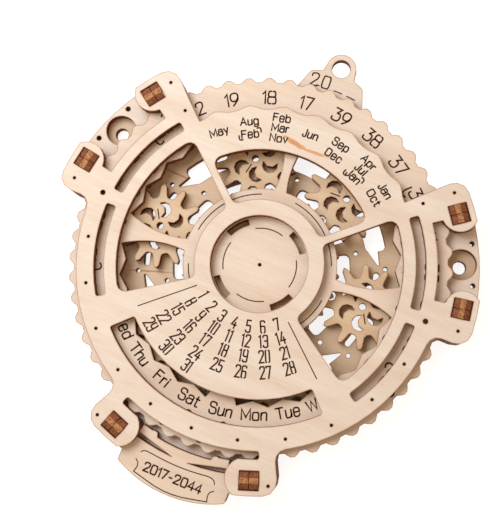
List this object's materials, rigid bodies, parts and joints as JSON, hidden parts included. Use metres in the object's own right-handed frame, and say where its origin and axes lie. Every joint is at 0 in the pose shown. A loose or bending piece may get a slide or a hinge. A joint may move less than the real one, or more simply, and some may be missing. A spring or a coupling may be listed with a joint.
{
  "type": "perpetual desk calendar",
  "caption": "Flat perpetual calendar of laser-cut plywood: a turning toothed dial of years and weekdays under a windowed front plate, over a planetary gear train, with a hanging loop",
  "frame": {"origin": "on the dial's axis, at the back face", "axes": "+X right, +Y towards the hanging loop, +Z out of the dial towards the reader; the calendar lies on its back"},
  "size_m": [0.143, 0.1556, 0.0135],
  "materials": {
    "face_ply": "pale birch plywood, sanded, with charred laser-cut edges",
    "wheel_ply": "pale pinkish birch plywood with charred laser-cut edges",
    "gear_ply": "yellower birch plywood with charred laser-cut edges",
    "back_ply": "birch plywood, a shade darker behind the gears",
    "peg_ply": "charred plywood end grain"
  },
  "bodies": {
    "frame": {"back_plate": "back_ply", "housing_plate": "face_ply", "right_spacer": "face_ply", "left_spacer": "face_ply", "right_lower_spacer": "face_ply", "left_lower_spacer": "face_ply", "spring_plate": "face_ply", "front_plate": "face_ply", "peg_right_upper_a": "peg_ply", "peg_right_upper_b": "peg_ply", "peg_right_lower_a": "peg_ply", "peg_right_lower_b": "peg_ply", "peg_left_upper_a": "peg_ply", "peg_left_upper_b": "peg_ply", "peg_left_lower_a": "peg_ply", "peg_left_lower_b": "peg_ply", "peg_bottom_left_a": "peg_ply", "peg_bottom_left_b": "peg_ply", "peg_bottom_right_a": "peg_ply", "peg_bottom_right_b": "peg_ply"},
    "wheel": {"calendar_wheel": "wheel_ply", "sun_gear": "gear_ply"},
    "ring": {"ring_gear": "gear_ply"},
    "planet_1": {"planet_gear_1": "gear_ply"},
    "planet_2": {"planet_gear_2": "gear_ply"},
    "planet_3": {"planet_gear_3": "gear_ply"},
    "planet_4": {"planet_gear_4": "gear_ply"},
    "planet_5": {"planet_gear_5": "gear_ply"},
    "planet_6": {"planet_gear_6": "gear_ply"}
  },
  "joints": [
    {"name": "wheel_turn", "type": "hinge", "parent": "frame", "child": "wheel", "pos_m": [0, 0, 0], "axis": [0, 0, 1], "continuous": true},
    {"name": "planet_1_turn", "type": "hinge", "parent": "frame", "child": "planet_1", "pos_m": [0.036, 0, 0], "axis": [0, 0, 1], "continuous": true},
    {"name": "planet_2_turn", "type": "hinge", "parent": "frame", "child": "planet_2", "pos_m": [0.018, 0.03118, 0], "axis": [0, 0, 1], "continuous": true},
    {"name": "planet_3_turn", "type": "hinge", "parent": "frame", "child": "planet_3", "pos_m": [-0.01521, 0.03263, 0], "axis": [0, 0, 1], "continuous": true},
    {"name": "planet_4_turn", "type": "hinge", "parent": "frame", "child": "planet_4", "pos_m": [-0.036, 0, 0], "axis": [0, 0, 1], "continuous": true},
    {"name": "planet_5_turn", "type": "hinge", "parent": "frame", "child": "planet_5", "pos_m": [-0.018, -0.03118, 0], "axis": [0, 0, 1], "continuous": true},
    {"name": "planet_6_turn", "type": "hinge", "parent": "frame", "child": "planet_6", "pos_m": [0.018, -0.03118, 0], "axis": [0, 0, 1], "continuous": true},
    {"name": "ring_turn", "type": "hinge", "parent": "frame", "child": "ring", "pos_m": [0, 0, 0], "axis": [0, 0, 1], "continuous": true}
  ],
  "couplings": [
    {"joint": "planet_1_turn", "follows": "wheel_turn", "ratio": -2},
    {"joint": "planet_2_turn", "follows": "wheel_turn", "ratio": -2},
    {"joint": "planet_3_turn", "follows": "wheel_turn", "ratio": -2},
    {"joint": "planet_4_turn", "follows": "wheel_turn", "ratio": -2},
    {"joint": "planet_5_turn", "follows": "wheel_turn", "ratio": -2},
    {"joint": "planet_6_turn", "follows": "wheel_turn", "ratio": -2},
    {"joint": "ring_turn", "follows": "wheel_turn", "ratio": -0.5}
  ]
}
